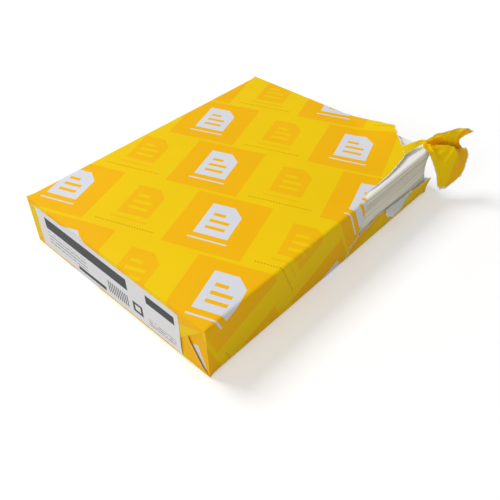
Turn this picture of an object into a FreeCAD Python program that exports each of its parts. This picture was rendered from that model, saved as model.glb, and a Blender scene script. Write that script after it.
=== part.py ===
import FreeCAD, Part
import Sketcher
import os

# A ream of letter copy paper: a block of sheets in a printed wrapper with folded ends, a label on
# the near end, and the wrapper torn open at the far right corner.
# Millimetres. +X is the right side, -Y the end with the label, +Z up. The origin is the middle of
# the underside, on the face that the ream lies on.

SIZES = [
    ("sheet_width", 215.9, "letter sheet, short side"),
    ("sheet_length", 279.4, "letter sheet, long side"),
    ("sheet_count", 500, "sheets in the ream"),
    ("sheet_gauge", 0.096, "thickness of one sheet"),
    ("stack_round", 1.2, "rounding of the block's long edges under the wrapper"),
    ("wrap_gauge", 0.15, "thickness of the wrapper"),
    ("wrap_ease", 0.15, "room between the block's sides and the wrapper"),
    ("lap_width", 26, "overlap of the wrapper's seam along the underside"),
    ("flap_reach", 38, "how far an end flap reaches over the end"),
    ("flap_layer", 0.3, "a folded end flap, two layers of wrapper"),
    ("tuck_lean", 22, "how far the bottom flap's edge leans in over its height"),
    ("label_width", 178, "label, along the end"),
    ("label_height", 41.5, "label, up the end"),
    ("label_gauge", 0.1, "thickness of the label"),
    ("label_inset", 11.8, "label's left edge from the ream's left side"),
    ("label_drop", 3.7, "label's top edge below the ream's top"),
    ("side_tear", 98, "length of the side tear, back from the far end"),
    ("strip_height", 20, "strip of wrapper left standing along the torn side"),
    ("curl_start", 28, "near end of the side tear to where the strip's edge is folded out"),
    ("curl_length", 43, "length of the strip's folded edge"),
    ("curl_fall", 10, "how far the folded edge hangs down"),
    ("crack_reach", 26, "how far the fine crack runs on towards the near end"),
    ("crack_width", 0.7, "width of that crack"),
    ("top_tear", 7, "width of bare paper along the torn top edge"),
    ("lift_reach", 95, "how far the loosened top reaches in from the right side, at the far end"),
    ("lift_rise", 6.5, "height of the loosened top's torn tip"),
    ("bow_depth", 3, "how far the bare corner's sheets are pushed in"),
    ("bow_span", 36, "height over which they are pushed in"),
    ("bow_middle", 27, "middle of that height above the block's base"),
]

# Places that follow from the sizes, as expressions on the sheet of sizes.
HALF_STACK_WIDTH = "sizes.sheet_width / 2"
HALF_STACK_LENGTH = "sizes.sheet_length / 2"
STACK_HEIGHT = "sizes.sheet_count * sizes.sheet_gauge"
STACK_BASE = "2 * sizes.wrap_gauge"
ROOM_HALF_WIDTH = HALF_STACK_WIDTH + " + sizes.wrap_ease"
ROOM_HALF_LENGTH = HALF_STACK_LENGTH + " + sizes.wrap_ease"
HALF_WIDTH = ROOM_HALF_WIDTH + " + sizes.wrap_gauge"
HALF_LENGTH = ROOM_HALF_LENGTH + " + sizes.wrap_gauge"
ROOM_TOP = STACK_BASE + " + " + STACK_HEIGHT
TOP = ROOM_TOP + " + sizes.wrap_gauge"
BOTTOM = "sizes.wrap_gauge"
END_TEAR = HALF_WIDTH + " - sizes.lift_reach + 1.7"

# How far a cutting shape runs past the paper that it cuts, how far two joined pieces of wrapper
# lie over each other, and how deep the upper one is let into the lower one, as a share of the
# wrapper's thickness.
PAST = 4.0
JOIN = 1.6
SEAT = 0.35


def sheet_of_sizes(doc):
    """The driving sizes, one row each: value, alias and note."""
    sheet = doc.addObject("Spreadsheet::Sheet", "sizes")
    for row, (alias, value, note) in enumerate(SIZES, start=1):
        sheet.set("A%d" % row, note)
        sheet.set("B%d" % row, str(value))
        sheet.setAlias("B%d" % row, alias)
    doc.recompute()
    return sheet


def number(expression):
    """The present value of an expression on the sheet of sizes."""
    return float(FreeCAD.ActiveDocument.getObject("sizes").evalExpression(expression))


def origin_plane(body, role):
    """One of a body's own origin planes."""
    return [f for f in body.Origin.OriginFeatures if f.Role == role][0]


def outline_sketch(body, name, role, corners, offset=None):
    """A closed outline of straight lines on an origin plane. Each corner is two expressions."""
    sketch = body.newObject("Sketcher::SketchObject", name)
    sketch.AttachmentSupport = (origin_plane(body, role), [""])
    sketch.MapMode = "FlatFace"
    if offset:
        sketch.setExpression("AttachmentOffset.Base.z", offset)
    points = [FreeCAD.Vector(number(x), number(y), 0) for x, y in corners]
    count = len(points)
    for i in range(count):
        sketch.addGeometry(Part.LineSegment(points[i], points[(i + 1) % count]), False)
    for i in range(count):
        sketch.addConstraint(Sketcher.Constraint("Coincident", i, 2, (i + 1) % count, 1))
    for i, corner in enumerate(corners):
        for kind, expression in zip(("DistanceX", "DistanceY"), corner):
            made = sketch.addConstraint(
                Sketcher.Constraint(kind, -1, 1, i, 1, number(expression))
            )
            sketch.setExpression("Constraints[%d]" % made, expression)
    return sketch


def padded_body(doc, name, role, corners, length, offset=None, both_ways=False):
    """A body: an outline on an origin plane, padded."""
    body = doc.addObject("PartDesign::Body", name)
    sketch = outline_sketch(body, name + "_outline", role, corners, offset)
    pad = body.newObject("PartDesign::Pad", name + "_pad")
    pad.Profile = sketch
    pad.setExpression("Length", length)
    pad.Midplane = both_ways
    sketch.Visibility = False
    doc.recompute()
    return body


def round_long_edges(doc, body, radius):
    """Rounds the four edges of a padded block that run along Y."""
    pad = body.Tip
    along = []
    for i, edge in enumerate(pad.Shape.Edges, start=1):
        first, last = edge.Vertexes[0].Point, edge.Vertexes[-1].Point
        if abs(first.x - last.x) < 1e-6 and abs(first.z - last.z) < 1e-6:
            along.append("Edge%d" % i)
    fillet = body.newObject("PartDesign::Fillet", body.Name + "_round")
    fillet.Base = (pad, along)
    fillet.setExpression("Radius", radius)
    doc.recompute()


def rectangle(half_width, low, high):
    """The corners of a rectangle that is centred left to right."""
    return [
        ("-(%s)" % half_width, low),
        (half_width, low),
        (half_width, high),
        ("-(%s)" % half_width, high),
    ]


def block(doc, name, half_width, half_length, low, high, radius):
    """A block of the ream's kind: lying flat, its long edges rounded."""
    body = padded_body(
        doc,
        name,
        "XZ_Plane",
        rectangle(half_width, low, high),
        "2 * (%s)" % half_length,
        both_ways=True,
    )
    round_long_edges(doc, body, radius)
    return body


def make_stack(doc):
    """The sheets as one block, pushed in a little at the bare corner."""
    sheets = block(
        doc,
        "sheets",
        HALF_STACK_WIDTH,
        HALF_STACK_LENGTH,
        STACK_BASE,
        ROOM_TOP,
        "sizes.stack_round",
    )
    # A cylinder that lies across the corner takes a shallow bow out of its sheets.
    press = doc.addObject("Part::Cylinder", "corner_bow")
    radius = "((sizes.bow_span / 2) ^ 2 + sizes.bow_depth ^ 2) / (2 * sizes.bow_depth)"
    reach = "2 * sizes.bow_span"
    press.setExpression("Radius", radius)
    press.setExpression("Height", "2 * (%s)" % reach)
    press.Placement.Rotation = FreeCAD.Rotation(
        FreeCAD.Vector(0, 0, 1), FreeCAD.Vector(-1, 1, 0)
    )
    out = "((%s - sizes.bow_depth) / sqrt(2))" % radius
    back = "(%s) / sqrt(2)" % reach
    press.setExpression("Placement.Base.x", "%s + %s + %s" % (HALF_STACK_WIDTH, out, back))
    press.setExpression("Placement.Base.y", "%s + %s - %s" % (HALF_STACK_LENGTH, out, back))
    press.setExpression("Placement.Base.z", STACK_BASE + " + sizes.bow_middle")
    stack = doc.addObject("Part::Cut", "paper_stack")
    stack.Base = sheets
    stack.Tool = press
    stack.Label = "paper_stack"
    doc.recompute()
    return stack


def from_far_end(distance):
    """A place along Y, measured back from the wrapper's far end."""
    return "%s - %s" % (HALF_LENGTH, distance)


def from_right(distance):
    """A place along X, measured in from the wrapper's right side."""
    return "%s - %s" % (HALF_WIDTH, distance)


def curl_crease():
    """The crease that the strip's edge is folded out along, as (along Y, up)."""
    along = "(sizes.side_tear - sizes.curl_start - %g * sizes.curl_length)"
    return [
        (from_far_end(along % share), "sizes.strip_height + %g" % up)
        for share, up in ((0, 1), (0.3, 0.2), (0.65, -1), (1, -2))
    ]


def side_tear_corners():
    """The side tear on the right side, as (along Y, up): what is gone of that panel."""
    crack = "(sizes.side_tear + sizes.crack_reach)"
    near = "(sizes.side_tear + 11)"
    return [
        (from_far_end("sizes.side_tear"), TOP + " + %g" % PAST),
        (from_far_end("(sizes.side_tear + 2)"), TOP + " - 7"),
        (from_far_end("(sizes.side_tear + 4)"), TOP + " - 16"),
        (from_far_end("(sizes.side_tear + 8)"), TOP + " - 25"),
        # Down the fine crack and back up its other side.
        (from_far_end(near), "sizes.strip_height - 1"),
        (from_far_end("(sizes.side_tear + 22)"), "sizes.strip_height - 9"),
        (from_far_end(crack), "-%g" % PAST),
        (from_far_end("(%s - sizes.crack_width)" % crack), "-%g" % PAST),
        (from_far_end("(sizes.side_tear + 22 - sizes.crack_width)"), "sizes.strip_height - 9"),
        (from_far_end("(%s - sizes.crack_width)" % near), "sizes.strip_height - 2"),
        # The torn top edge of the strip that still stands.
        (from_far_end("(sizes.side_tear - 7)"), "sizes.strip_height"),
        (from_far_end("(sizes.side_tear - 18)"), "sizes.strip_height + 2"),
        *curl_crease(),
        (from_far_end("-%g" % PAST), "sizes.strip_height - 5"),
        (from_far_end("-%g" % PAST), TOP + " + %g" % PAST),
    ]


def far_tear_line():
    """The torn edge on the far end, from the top corner down and out to the right, as (X, up)."""
    return [
        (END_TEAR, TOP),
        (END_TEAR + " + 3", "sizes.flap_reach"),
        (END_TEAR + " + 16", "sizes.flap_reach - 4"),
        (END_TEAR + " + 30", "sizes.strip_height + 6"),
        (END_TEAR + " + 46", "sizes.strip_height + 1"),
        (from_right("30"), "sizes.strip_height - 4.5"),
        (from_right("12"), "sizes.strip_height - 6.5"),
    ]


def far_tear_corners():
    """What is gone of the far end, as (X, up)."""
    line = far_tear_line()
    return [
        (line[0][0], TOP + " + %g" % PAST),
        *line[1:],
        (from_right("-%g" % PAST), "sizes.strip_height - 5"),
        (from_right("-%g" % PAST), TOP + " + %g" % PAST),
    ]


# Where the loosened part of the top leaves the flat part, as distances in from the right side and
# back from the far end. The first lies on the far edge, the last where the side tear begins.
def hinge_line(sizes):
    reach, tear = sizes.lift_reach, sizes.side_tear
    return [
        (reach, 0.3),
        (reach * 0.76, tear * 0.18),
        (reach * 0.5, tear * 0.43),
        (reach * 0.26, tear * 0.69),
        (sizes.top_tear + 0.8, tear * 0.95),
    ]


def top_tear_corners(sheet):
    """What is gone of the flat top, as (X, Y): all that is loosened, and the bare strip."""
    line = hinge_line(sheet)
    corners = [(from_right("-%g" % PAST), from_far_end("sizes.side_tear"))]
    corners.append((from_right("(sizes.top_tear - 3)"), from_far_end("sizes.side_tear")))
    for across, back in reversed(line):
        across, back = across + JOIN / 2, back + JOIN / 2
        corners.append((from_right("%g" % across), from_far_end("%g" % back)))
    corners[-1] = (corners[-1][0], from_far_end("-%g" % PAST))
    corners.append((from_right("-%g" % PAST), from_far_end("-%g" % PAST)))
    return corners


def end_flap(doc, name, corners, layers, far):
    """A flap folded over an end: an outline as (X, up), raised on the end wall by its layers."""
    offset = "-(%s)" % HALF_LENGTH if far else HALF_LENGTH
    body = padded_body(doc, name, "XZ_Plane", corners, "%d * sizes.flap_layer" % layers, offset)
    body.Tip.Reversed = far
    doc.recompute()
    return body


def slanted(inset, mirrored=False):
    """A place in from the left side, or from the right if mirrored."""
    return ("%s - (%s)" if mirrored else "-(%s) + (%s)") % (HALF_WIDTH, inset)


def near_flaps(doc):
    """The near end's bottom flap, and the top flap folded down over it."""
    bottom = [
        (slanted("0.3"), BOTTOM),
        (slanted("0.3", True), BOTTOM),
        (slanted("sizes.tuck_lean", True), BOTTOM + " + sizes.flap_reach"),
        (slanted("sizes.tuck_lean"), BOTTOM + " + sizes.flap_reach"),
    ]
    top = [
        (slanted("0.3"), TOP),
        (slanted("sizes.flap_reach"), TOP + " - sizes.flap_reach"),
        (slanted("sizes.flap_reach", True), TOP + " - sizes.flap_reach"),
        (slanted("0.3", True), TOP),
    ]
    return [
        end_flap(doc, "near_bottom_flap", bottom, 1, False),
        end_flap(doc, "near_top_flap", top, 2, False),
    ]


def far_flaps(doc):
    """The far end's flaps: the same folds, with the right part torn off."""
    line = far_tear_line()
    bottom = [
        (slanted("0.3"), BOTTOM),
        (slanted("0.3", True), BOTTOM),
        (slanted("6", True), "sizes.strip_height / 2"),
        *reversed(line[1:]),
        (slanted("sizes.tuck_lean"), "sizes.flap_reach"),
    ]
    top = [
        (slanted("0.3"), TOP),
        (slanted("sizes.flap_reach"), TOP + " - sizes.flap_reach"),
        (END_TEAR + " - 17", TOP + " - sizes.flap_reach"),
        (END_TEAR + " - 9", TOP + " - 28"),
        (END_TEAR + " - 11", TOP + " - 18"),
        (END_TEAR + " - 2", TOP + " - 8"),
        (END_TEAR + " - 0.5", TOP),
    ]
    return [
        end_flap(doc, "far_bottom_flap", bottom, 1, True),
        end_flap(doc, "far_top_flap", top, 2, True),
    ]


def lap_seam(doc):
    """The seam's outer layer, along the underside."""
    lap = doc.addObject("Part::Box", "lap_seam")
    lap.setExpression("Length", "sizes.lap_width")
    lap.setExpression("Width", "2 * (%s)" % HALF_LENGTH)
    lap.setExpression("Height", "sizes.wrap_gauge")
    lap.setExpression("Placement.Base.x", "-sizes.lap_width / 2")
    lap.setExpression("Placement.Base.y", "-(%s)" % HALF_LENGTH)
    return lap


def paper_solid(rows, gauge):
    """A thin closed solid on a net of points, flat between them, like creased paper."""
    high, wide = len(rows), len(rows[0])

    def normal(i, j):
        here = rows[i][j]
        up, down = rows[min(i + 1, high - 1)][j], rows[max(i - 1, 0)][j]
        right, left = rows[i][min(j + 1, wide - 1)], rows[i][max(j - 1, 0)]
        cross = (right - left).cross(up - down)
        if cross.Length < 1e-6:
            raise ValueError("two corners of a paper net meet at %s" % here)
        return cross.normalize()

    half = gauge / 2
    outer = [[rows[i][j] + normal(i, j) * half for j in range(wide)] for i in range(high)]
    inner = [[rows[i][j] - normal(i, j) * half for j in range(wide)] for i in range(high)]
    faces = []

    def triangle(*corners):
        faces.append(Part.Face(Part.makePolygon([*corners, corners[0]])))

    def square(a, b, c, d):
        triangle(a, b, c)
        triangle(a, c, d)

    for i in range(high - 1):
        for j in range(wide - 1):
            for net in (outer, inner):
                square(net[i][j], net[i][j + 1], net[i + 1][j + 1], net[i + 1][j])
    for j in range(wide - 1):
        for i in (0, high - 1):
            square(outer[i][j], outer[i][j + 1], inner[i][j + 1], inner[i][j])
    for i in range(high - 1):
        for j in (0, wide - 1):
            square(outer[i][j], outer[i + 1][j], inner[i + 1][j], inner[i][j])
    shell = Part.makeShell(faces)
    shell.sewShape()
    solid = Part.makeSolid(shell)
    if solid.Volume < 0:
        solid.reverse()
    return solid


def net_feature(doc, name, rows, gauge):
    """A creased sheet on a net of points, as an object of the document."""
    feature = doc.addObject("Part::Feature", name)
    feature.Shape = paper_solid(rows, gauge)
    return feature


def loosened_net(sheet):
    """The part of the top that has come up off the block: rows from the flat top to the tear."""
    x, y = number(HALF_WIDTH), number(HALF_LENGTH)
    z = number(TOP) + sheet.wrap_gauge * (0.5 - SEAT)
    rise, tear, strip = sheet.lift_rise, sheet.side_tear, sheet.top_tear

    def at(across, back, up):
        return FreeCAD.Vector(x - across, y - back, z + up)

    root = [at(across + JOIN, back + JOIN, 0) for across, back in hinge_line(sheet)]
    hinge = [at(across, back, 0) for across, back in hinge_line(sheet)]
    half_way = [
        at(sheet.lift_reach * 0.78, -1.5, rise * 0.3),
        at(sheet.lift_reach * 0.56, 10, rise * 0.4),
        at(sheet.lift_reach * 0.34, 27, rise * 0.35),
        at(sheet.lift_reach * 0.19, 48, rise * 0.2),
        at(strip, tear * 0.8, rise * 0.07),
    ]
    edge = [
        at(sheet.lift_reach * 0.61, -2.5, rise * 0.7),
        at(sheet.lift_reach * 0.44, -3.5, rise),
        at(strip + 12, 17, rise * 0.55),
        at(strip + 4, 27, rise * 0.4),
        at(strip - 1, tear * 0.63, rise * 0.15),
    ]
    return [root, hinge, half_way, edge]


# The crumpled flap hangs from a narrow neck at the torn corner. Each row runs out from the neck,
# and each point is (out from the corner along the diagonal, across it towards the near end, up
# from the top). The rows are its upper edge, the deep fold under that, the bulge and the rim.
FLAP_UPPER_EDGE = [(-11, -6, 6), (-5, -4, 8), (4, -2.5, 13.5), (15, -1.5, 18), (27, -1, 19.5), (34, 0, 17)]
FLAP_FOLD = [(-10.5, -5, 5), (-6, -1, 6), (2, -2.5, 5.5), (13, -3, 3), (20.5, -3, 1), (27, -2, -3)]
FLAP_BULGE = [(-10, -4, 4), (-8, 1, 5), (-1, 5, 3), (7, 9, -7), (18, 8, -9), (35, -1, -9.5)]
FLAP_RIM = [(-9.5, -3, 3), (-10, 3, 4), (-5, 7, 0.5), (3, 6, -18), (12.5, 4, -44), (27, 1, -31)]


def crumpled_flap(doc, sheet):
    """The torn flap: a neck of wrapper from the loosened top, and the crumpled piece on it."""
    x, y, z = number(HALF_WIDTH), number(HALF_LENGTH), number(TOP)
    half_root = 0.5**0.5
    _, _, behind, edge = loosened_net(sheet)

    def neck_root(share):
        """A place on the loosened top, a little in from its torn edge, where the neck grows out."""
        torn = edge[2] * (1 - share) + edge[3] * share
        inner = behind[2] * (1 - share) + behind[3] * share
        lifted = FreeCAD.Vector(0, 0, sheet.wrap_gauge * (1 - SEAT))
        return torn + (inner - torn) * 0.1 + lifted

    rows = []
    for share, points in zip((0, 0.33, 0.67, 1), (FLAP_UPPER_EDGE, FLAP_FOLD, FLAP_BULGE, FLAP_RIM)):
        row = [neck_root(share)]
        for out, across, up in points:
            row.append(
                FreeCAD.Vector(x + (out + across) * half_root, y + (out - across) * half_root, z + up)
            )
        rows.append(row)
    return net_feature(doc, "crumpled_flap", rows, sheet.wrap_gauge)


def curled_strip(doc, sheet):
    """The strip's torn edge, folded outwards and down, so that its inner side shows."""
    side = number(HALF_WIDTH)
    crest = [FreeCAD.Vector(side, number(along), number(up)) for along, up in curl_crease()]

    def row(*steps):
        """The crease moved by a step (out, up) at each of its points."""
        return [here + FreeCAD.Vector(out, 0, up) for here, (out, up) in zip(crest, steps)]

    skin, fall = -sheet.wrap_gauge / 10, sheet.curl_fall
    root = row(*[(skin, -JOIN)] * len(crest))
    over = row(*[(JOIN / 2, 0)] * len(crest))
    torn = row((1.5, -0.5 * fall), (3, -fall), (3, -0.8 * fall), (1.5, -0.2 * fall))
    return net_feature(doc, "curled_strip", [root, over, torn], sheet.wrap_gauge)


def make_wrapper(doc, sheet):
    """One folded sheet round the block, torn open, with what the tear has left standing."""
    outer = block(
        doc,
        "wrap_outside",
        HALF_WIDTH,
        HALF_LENGTH,
        BOTTOM,
        TOP,
        "sizes.stack_round + sizes.wrap_gauge",
    )
    room = block(
        doc,
        "wrap_inside",
        ROOM_HALF_WIDTH,
        ROOM_HALF_LENGTH,
        STACK_BASE,
        ROOM_TOP,
        "sizes.stack_round",
    )
    shell = doc.addObject("Part::Cut", "wrap_shell")
    shell.Base = outer
    shell.Tool = room

    deep = "%g" % (2 * PAST)
    side = padded_body(
        doc, "side_tear_cut", "YZ_Plane", side_tear_corners(), deep, from_right("%g" % PAST)
    )
    top = padded_body(
        doc, "top_tear_cut", "XY_Plane", top_tear_corners(sheet), deep, TOP + " - %g" % PAST
    )
    far = padded_body(
        doc,
        "far_tear_cut",
        "XZ_Plane",
        far_tear_corners(),
        deep,
        "-(%s) - %g" % (ROOM_HALF_LENGTH, 2 * PAST),
    )
    tears = doc.addObject("Part::MultiFuse", "tears")
    tears.Shapes = [side, top, far]
    torn = doc.addObject("Part::Cut", "torn_shell")
    torn.Base = shell
    torn.Tool = tears

    wrapper = doc.addObject("Part::MultiFuse", "wrapper")
    wrapper.Shapes = [
        torn,
        lap_seam(doc),
        *near_flaps(doc),
        *far_flaps(doc),
        net_feature(doc, "loosened_top", loosened_net(sheet), sheet.wrap_gauge),
        crumpled_flap(doc, sheet),
        curled_strip(doc, sheet),
    ]
    wrapper.Label = "wrapper"
    doc.recompute()
    return wrapper


def make_label(doc):
    """The paper label glued on the near end, over the folded flaps."""
    left = slanted("sizes.label_inset")
    right = left + " + sizes.label_width"
    high = TOP + " - sizes.label_drop"
    low = high + " - sizes.label_height"
    body = padded_body(
        doc,
        "end_label",
        "XZ_Plane",
        [(left, low), (right, low), (right, high), (left, high)],
        "sizes.label_gauge",
        HALF_LENGTH + " + 2 * sizes.flap_layer",
    )
    body.Label = "end_label"
    return body


def check(doc, pieces):
    """Stops if anything failed to build, or a piece isn't one sound solid."""
    for item in doc.Objects:
        if "Invalid" in item.State or "Error" in item.State:
            raise RuntimeError("%s failed: %s" % (item.Name, item.State))
    for piece in pieces:
        shape = piece.Shape
        if shape.isNull() or not shape.isValid():
            raise RuntimeError("%s has no valid shape" % piece.Label)
        if len(shape.Solids) != 1:
            raise RuntimeError("%s has %d solids" % (piece.Label, len(shape.Solids)))
        box = shape.BoundBox
        print(
            "%-12s volume %10.1f mm3, X %.1f to %.1f, Y %.1f to %.1f, Z %.2f to %.2f"
            % (piece.Label, shape.Volume, box.XMin, box.XMax, box.YMin, box.YMax, box.ZMin, box.ZMax)
        )


def main():
    doc = FreeCAD.newDocument("ream_of_paper")
    sheet = sheet_of_sizes(doc)
    pieces = [make_stack(doc), make_wrapper(doc, sheet), make_label(doc)]
    doc.recompute()
    check(doc, pieces)
    os.makedirs("parts", exist_ok=True)
    for piece in pieces:
        piece.Shape.exportStep("parts/%s.step" % piece.Label)


main()
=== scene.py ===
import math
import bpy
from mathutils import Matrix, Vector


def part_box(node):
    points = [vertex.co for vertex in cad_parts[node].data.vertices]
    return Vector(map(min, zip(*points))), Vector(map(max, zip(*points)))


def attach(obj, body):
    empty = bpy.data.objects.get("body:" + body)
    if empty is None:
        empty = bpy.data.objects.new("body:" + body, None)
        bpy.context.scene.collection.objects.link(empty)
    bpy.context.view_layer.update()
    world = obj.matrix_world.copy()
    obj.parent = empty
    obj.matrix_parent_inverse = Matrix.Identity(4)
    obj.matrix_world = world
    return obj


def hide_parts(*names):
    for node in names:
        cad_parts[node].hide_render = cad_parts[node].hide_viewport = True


bl_info = {
    "name": "Ream of Paper",
    "version": (1, 0, 0),
    "blender": (4, 5, 0),
    "location": "View3D > Sidebar > Ream",
    "description": "A wrapped ream of letter paper, torn open at one corner",
    "category": "Add Mesh",
}

import bpy
import numpy as np
from bpy.props import FloatProperty, FloatVectorProperty, IntProperty, PointerProperty
from mathutils import Matrix, Vector
from mathutils.geometry import delaunay_2d_cdt

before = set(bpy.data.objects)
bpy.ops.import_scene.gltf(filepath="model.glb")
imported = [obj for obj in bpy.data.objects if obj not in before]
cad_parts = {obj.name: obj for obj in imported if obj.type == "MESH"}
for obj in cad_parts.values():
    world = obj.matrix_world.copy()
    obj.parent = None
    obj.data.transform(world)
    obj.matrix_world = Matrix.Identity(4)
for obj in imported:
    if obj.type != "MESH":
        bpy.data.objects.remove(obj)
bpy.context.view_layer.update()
STACK_LOW, STACK_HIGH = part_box("paper_stack")
LABEL_LOW, LABEL_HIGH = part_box("end_label")

# All making is in millimetres, and MM turns it to metres. +X is the right side, -Y the near end
# with the label, +Z up.
MM = 0.001
SHEET_GAUGE = 0.096
LABEL_GAUGE = 0.06
WRAP_GAUGE = 0.15
WRAP_EASE = 0.15
HALF_WIDTH = STACK_HIGH.x / MM + WRAP_EASE + WRAP_GAUGE
HALF_LENGTH = STACK_HIGH.y / MM + WRAP_EASE + WRAP_GAUGE
TOP = STACK_HIGH.z / MM + WRAP_GAUGE
BOTTOM = STACK_LOW.z / MM - WRAP_GAUGE
HEIGHT = TOP - BOTTOM


def hex_colour(code):
    """A linear colour from an sRGB hex value."""
    values = [int(code[i : i + 2], 16) / 255 for i in (1, 3, 5)]
    return [v / 12.92 if v <= 0.04045 else ((v + 0.055) / 1.055) ** 2.4 for v in values]


def colour_property(name, description, code):
    colour = hex_colour(code)
    return FloatVectorProperty(
        name=name, description=description, subtype="COLOR", size=3, min=0, max=1, default=colour
    )


def length_property(name, description, millimetres):
    return FloatProperty(
        name=name, description=description, unit="LENGTH", default=millimetres * MM, min=0
    )


def power_property(name, description, watts):
    return FloatProperty(name=name, description=description, unit="POWER", default=watts, min=0)


class StackSettings(bpy.types.PropertyGroup):
    """The block of loose sheets."""

    sheets: IntProperty(name="Sheets", description="Sheets in the ream", default=500, min=2)
    stray: length_property("Stray", "How far a sheet's edge strays from the block's side", 0.18)
    ease: length_property("Side ease", "How far the block's sides lie inside its box", 0.3)
    bow: length_property("Corner bow", "How far the bare corner's sheets are pushed in", 3)
    colour: colour_property("Sheet colour", "Copy paper", "#FCFAF3")


class WrapperSettings(bpy.types.PropertyGroup):
    """The printed wrapper and its tears."""

    waviness: length_property("Waviness", "Height of the wrapper's gentle waves", 0.35)
    square: length_property("Print square", "Side of a square of the print", 69)
    print_turn: FloatProperty(
        name="Print turn", description="How far the rows of the print are turned",
        subtype="ANGLE", default=math.radians(20),
    )
    yellow: colour_property("Yellow", "Lighter ink of the print", "#FCD300")
    orange: colour_property("Orange", "Deeper ink of the print", "#FEBF00")
    figure: colour_property("Figure", "Unprinted white of the figures", "#E2E4EC")
    inside: colour_property("Inside", "White back of the wrapper", "#E6E7E2")


class LabelSettings(bpy.types.PropertyGroup):
    """The paper label on the near end."""

    lift: length_property("Loose edge", "How far the label's right edge stands off", 0.7)
    paper: colour_property("Label paper", "White label stock", "#EAE9EA")
    ink: colour_property("Label ink", "Dark ink of bands and fields", "#33383A")


class StudioSettings(bpy.types.PropertyGroup):
    """The floor, the lamps and the camera."""

    floor: colour_property("Floor", "Pale floor", "#E6E6E6")
    key: power_property("Key lamp", "Power of the left lamp", 29)
    fill: power_property("Fill lamp", "Power of the lamp in front", 3.6)
    side: power_property("Side lamp", "Power of the right lamp", 0.3)
    world: FloatProperty(name="Room light", description="Strength of the room", default=0.37, min=0)
    lens: FloatProperty(
        name="Lens", description="Focal length of the camera", subtype="DISTANCE_CAMERA",
        default=45.5,
    )


# Making meshes and materials

MATH = "ShaderNodeMath"
VECTORS = "ShaderNodeVectorMath"
MIX = "ShaderNodeMix"
RANGE = "ShaderNodeMapRange"
NOISE = "ShaderNodeTexNoise"


def add_node(tree, kind, inputs=(), **settings):
    """Adds a node with its settings. Its inputs go by name, or as a list to its shown sockets in
    order. Each is a value, a node or socket to link, or a sum such as ("ADD", 1, 2) that gets
    nodes of its own. A node is linked by its first shown output."""
    node = tree.nodes.new(kind)
    for key, value in settings.items():
        setattr(node, key, value)
    if isinstance(inputs, dict):
        pairs = [(node.inputs[name], value) for name, value in inputs.items()]
    else:
        pairs = zip([socket for socket in node.inputs if socket.enabled], inputs)
    for socket, value in pairs:
        if isinstance(value, tuple) and isinstance(value[0], str):
            value = add_node(tree, MATH, value[1:], operation=value[0])
        if isinstance(value, bpy.types.Node):
            value = next(output for output in value.outputs if output.enabled)
        if isinstance(value, bpy.types.NodeSocket):
            tree.links.new(value, socket)
        else:
            socket.default_value = (*value, 1) if socket.type == "RGBA" else value
    return node


def new_material(name):
    """An empty material and its tree."""
    material = bpy.data.materials.new(name)
    material.use_nodes = True
    material.node_tree.nodes.clear()
    return material, material.node_tree


def add_object(name, data):
    """A new object in the scene."""
    thing = bpy.data.objects.new(name, data)
    bpy.context.scene.collection.objects.link(thing)
    return thing


def new_piece(name, points, faces, materials, net=None, tear=None):
    """An object from points in millimetres, with its flat net as UV map and its tear distance."""
    mesh = bpy.data.meshes.new(name)
    mesh.from_pydata([tuple(p) for p in np.asarray(points) * MM], [], [tuple(f) for f in faces])
    for material in materials:
        mesh.materials.append(material)
    if net is not None:
        corners = np.zeros(len(mesh.loops), int)
        mesh.loops.foreach_get("vertex_index", corners)
        flat = (np.asarray(net)[corners] * MM).astype(np.float32)
        mesh.uv_layers.new(name="flat").data.foreach_set("uv", flat.ravel())
    if tear is not None:
        distance = mesh.attributes.new("tear", "FLOAT", "POINT")
        distance.data.foreach_set("value", np.asarray(tear, np.float32))
    mesh.update()
    return add_object(name, mesh)


def finished(piece):
    """The piece with its modifiers turned into plain mesh."""
    evaluated = piece.evaluated_get(bpy.context.evaluated_depsgraph_get())
    mesh = bpy.data.meshes.new_from_object(evaluated)
    piece.modifiers.clear()
    old, piece.data = piece.data, mesh
    bpy.data.meshes.remove(old)
    return piece


def thickened(piece, gauge, sharp, **settings):
    """The sheet with its thickness inwards, smooth but for folds past an angle in degrees."""
    solidify = piece.modifiers.new("gauge", "SOLIDIFY")
    solidify.thickness, solidify.offset = gauge * MM, -1
    for key, value in settings.items():
        setattr(solidify, key, value)
    piece.data.shade_smooth()
    piece = finished(piece)
    piece.data.set_sharp_from_angle(angle=math.radians(sharp))
    return piece


def smoothstep(low, high, value):
    share = np.clip((value - low) / (high - low), 0, 1)
    return share * share * (3 - 2 * share)


def ripples(x, y, length, seed):
    """Gentle waves of about that length in millimetres, from -1 to 1."""
    rng = np.random.default_rng(seed)
    total = 0
    for _ in range(7):
        turn, phase = rng.uniform(0, 2 * math.pi, 2)
        wave = 2 * math.pi / (length * rng.uniform(0.6, 1.7))
        total = total + np.sin((x * math.cos(turn) + y * math.sin(turn)) * wave + phase)
    return total / 4


def nearest(points, others):
    """The distance from each point to the nearest of the others, worked out in batches."""
    distance, batch = np.full(len(points), np.inf), 400
    for start in range(0, len(others), batch):
        apart = points[:, None] - others[None, start : start + batch]
        distance = np.minimum(distance, np.hypot(apart[..., 0], apart[..., 1]).min(1))
    return distance


def grid_shares(high, wide):
    """How far down and along a grid each of its points lies, from 0 to 1."""
    return np.meshgrid(np.linspace(0, 1, high), np.linspace(0, 1, wide), indexing="ij")


# The wrapper's net

# The wrapper is one flat sheet. s runs round the girth from the middle of the top, to the right
# and round to the seam under the ream, and t along the length. fold() places the flat sheet.

# Rounding of the long edges, reach of the end flaps over the ends, and how far each side passes
# the middle of the underside.
EDGE, REACH, LAP = 2.6, 38.0, 13.0
# How far the slanted crease of the underside's flap leans in for each millimetre up the end.
LEAN = 0.6
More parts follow.
